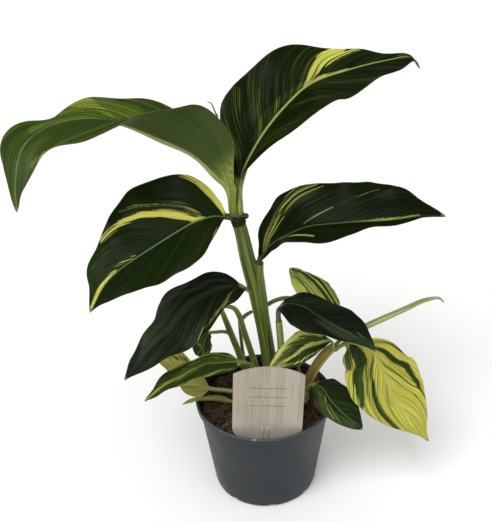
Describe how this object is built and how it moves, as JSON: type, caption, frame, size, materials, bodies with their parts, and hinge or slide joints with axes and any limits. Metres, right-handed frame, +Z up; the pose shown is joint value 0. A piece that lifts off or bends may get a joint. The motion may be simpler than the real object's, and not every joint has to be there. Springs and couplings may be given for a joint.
{
  "type": "potted plant",
  "caption": "Potted variegated shell ginger with broad pointed leaves on an upright stem, side shoots, soil, a round tapered nursery pot and a plain wood-grain plant tag.",
  "frame": {"origin": "centre of the pot's flat underside", "axes": "+Z up; the side shown in the picture faces -Y, and +X is its right"},
  "size_m": [0.3464, 0.1627, 0.3768],
  "materials": {
    "pot": "dark slate-grey moulded plastic, satin",
    "soil": "dark brown crumbly potting mix of peat and bark, matt",
    "tag": "thin plastic printed with a pale wood-plank pattern",
    "stem": "smooth olive-green living stem with long pale streaks",
    "shoot": "smooth tan-pink young shoot, greener at the top",
    "ligule": "dry dark brown papery collar",
    "leaf_dark": "glossy dark green living leaf with yellow bands",
    "leaf_green": "glossy mid-green living leaf with lighter stripes",
    "leaf_yellow": "satin yellow-green living leaf with dark green stripes"
  },
  "bodies": {
    "root": {"pot": "pot", "soil": "soil", "tag": "tag", "main_stem": "stem", "stem_left": "stem", "stem_middle": "stem", "stem_thin": "stem", "stem_right": "stem", "shoot_pink": "shoot", "ligule": "ligule", "leaf_top_left": "leaf_green", "leaf_top_right": "leaf_dark", "leaf_mid_left": "leaf_dark", "leaf_mid_right": "leaf_dark", "leaf_low_left": "leaf_dark", "leaf_low_right": "leaf_dark", "leaf_low_small": "leaf_dark", "leaf_left_curled": "leaf_dark", "leaf_centre_striped": "leaf_green", "leaf_front_striped": "leaf_green", "leaf_spear": "leaf_green", "leaf_scale_left": "leaf_green", "leaf_back_yellow": "leaf_yellow", "leaf_right_yellow": "leaf_yellow", "leaf_left_yellow": "leaf_yellow"}
  },
  "joints": []
}
